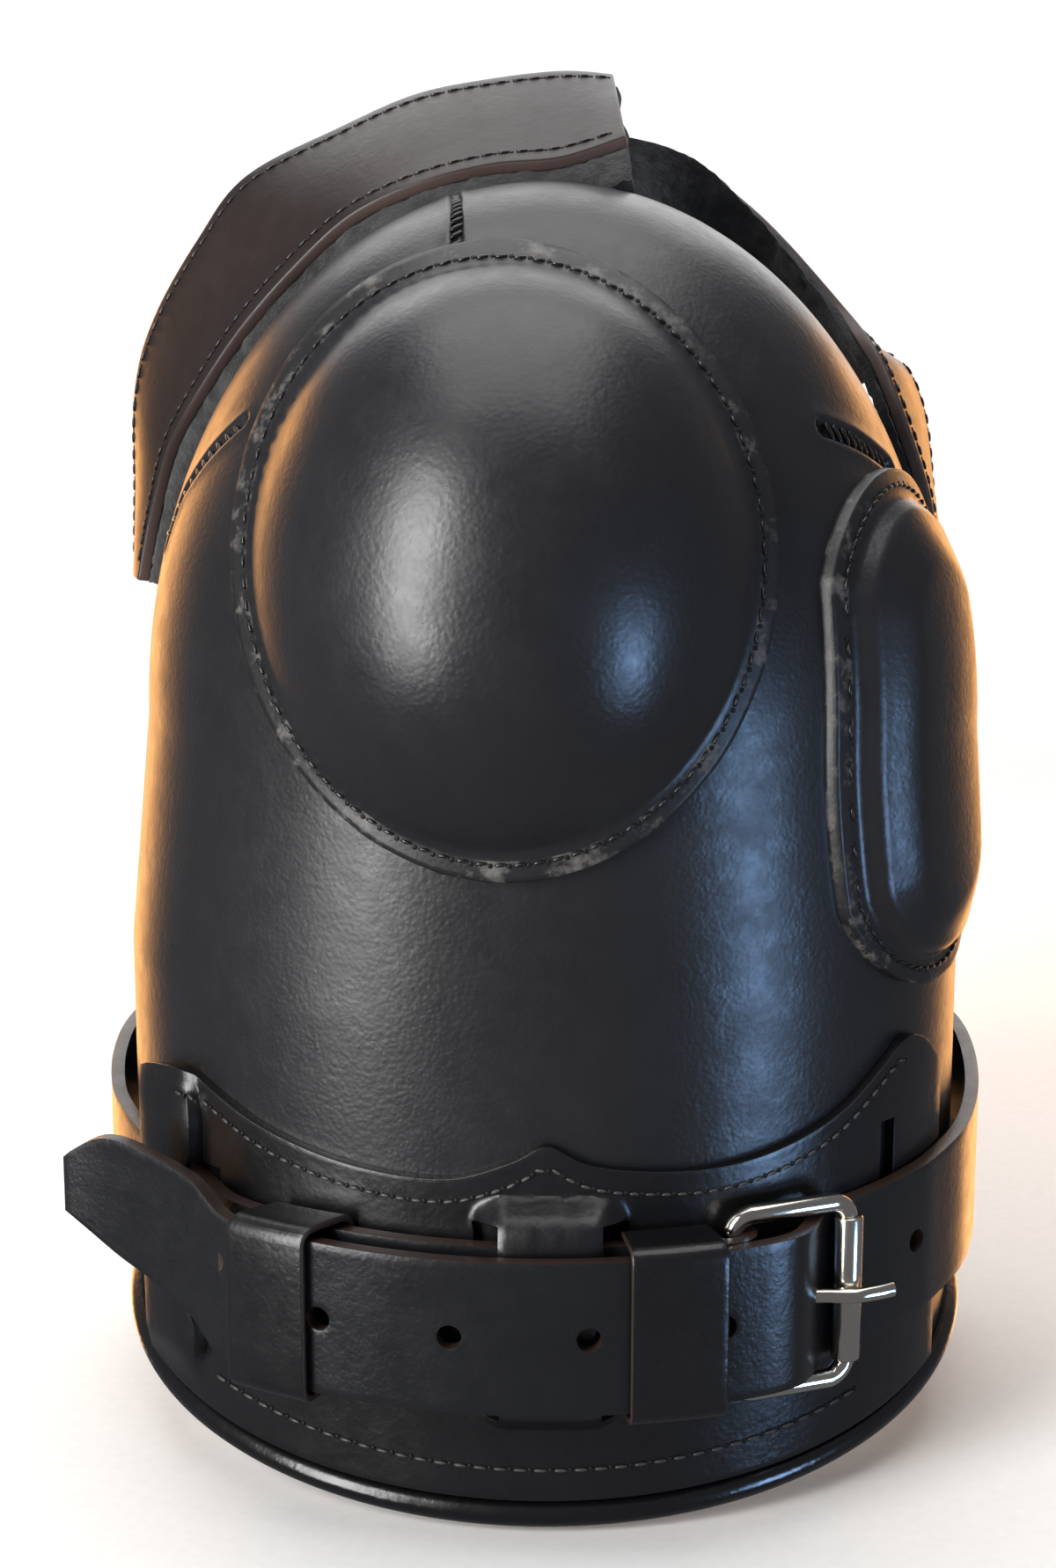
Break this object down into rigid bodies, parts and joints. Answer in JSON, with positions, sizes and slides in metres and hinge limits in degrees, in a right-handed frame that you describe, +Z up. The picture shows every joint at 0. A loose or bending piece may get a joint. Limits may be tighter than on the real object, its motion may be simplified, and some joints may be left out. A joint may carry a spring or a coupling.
{
  "type": "leather knee guard",
  "caption": "Strap-on leather knee guard with a padded knee dome, a side pad, hook-and-loop thigh wings and a buckled calf strap.",
  "frame": {"origin": "on the leg's axis, at the height of the knee joint", "axes": "+Z up the leg from ankle to thigh, +X to the right as seen from the front, and the front faces -Y"},
  "size_m": [0.1991, 0.1677, 0.2906],
  "materials": {
    "shell_leather": "black harness leather, smooth, half gloss",
    "pad_leather": "black moulded leather, half gloss",
    "band_leather": "black leather, half gloss",
    "piping_leather": "black leather, glossy, rolled",
    "strap_leather": "black strap leather with dressed edges",
    "wing_leather": "black leather with a warm brown sheen",
    "lining": "black brushed loop pile",
    "felt": "black wool felt",
    "foam": "closed-cell foam, matt",
    "hook": "black hook tape",
    "thread": "waxed black thread",
    "buckle_metal": "bright nickel plate"
  },
  "bodies": {
    "guard": {"outer_shell": "shell_leather", "foam_padding": "foam", "felt_lining": "felt", "edge_piping": "piping_leather", "side_binding_left": "piping_leather", "side_binding_right": "piping_leather", "knee_dome_cover": "pad_leather", "knee_dome_foam": "foam", "side_pad_cover": "pad_leather", "side_pad_foam": "foam", "lower_band": "band_leather", "calf_strap": "strap_leather", "keeper_right": "strap_leather", "dome_stitching": "thread", "side_pad_stitching": "thread", "band_top_stitching": "thread", "band_bottom_stitching": "thread"},
    "left_wing": {"left_wing_leather": "wing_leather", "left_wing_lining": "lining", "hook_patch": "hook"},
    "right_wing": {"right_wing_leather": "wing_leather", "right_wing_lining": "lining"},
    "strap_tip": {"billet_tip": "strap_leather"},
    "left_keeper": {"keeper_left": "strap_leather"},
    "buckle": {"buckle_frame": "buckle_metal"},
    "roller": {"buckle_roller": "buckle_metal"},
    "prong": {"buckle_prong": "buckle_metal"}
  },
  "joints": [
    {"name": "left_wing_peel", "type": "hinge", "parent": "guard", "child": "left_wing", "pos_m": [-0.089, 0.03, -0.027], "axis": [0.1003, -0.7519, 0.6516], "range_deg": [0, 65]},
    {"name": "right_wing_peel", "type": "hinge", "parent": "guard", "child": "right_wing", "pos_m": [0.0865, 0.016, 0], "axis": [0, 0, -1], "range_deg": [0, 55]},
    {"name": "strap_tip_flex", "type": "hinge", "parent": "guard", "child": "strap_tip", "pos_m": [-0.06473, -0.07291, -0.156], "axis": [0, 0, 1], "range_deg": [0, 38]},
    {"name": "left_keeper_slide", "type": "hinge", "parent": "guard", "child": "left_keeper", "pos_m": [-0.00297, 0.01447, -0.156], "axis": [0, 0, 1], "range_deg": [-0.6, 6]},
    {"name": "buckle_hinge", "type": "hinge", "parent": "guard", "child": "buckle", "pos_m": [0.03688, -0.08018, -0.1565], "axis": [0, 0, -1], "range_deg": [0, 2.5]},
    {"name": "prong_hinge", "type": "hinge", "parent": "buckle", "child": "prong", "pos_m": [0.03688, -0.08018, -0.1565], "axis": [0, 0, -1], "range_deg": [0, 2.5]},
    {"name": "roller_spin", "type": "hinge", "parent": "buckle", "child": "roller", "pos_m": [0.06114, -0.07067, -0.1565], "axis": [0, 0, 1], "continuous": true}
  ]
}
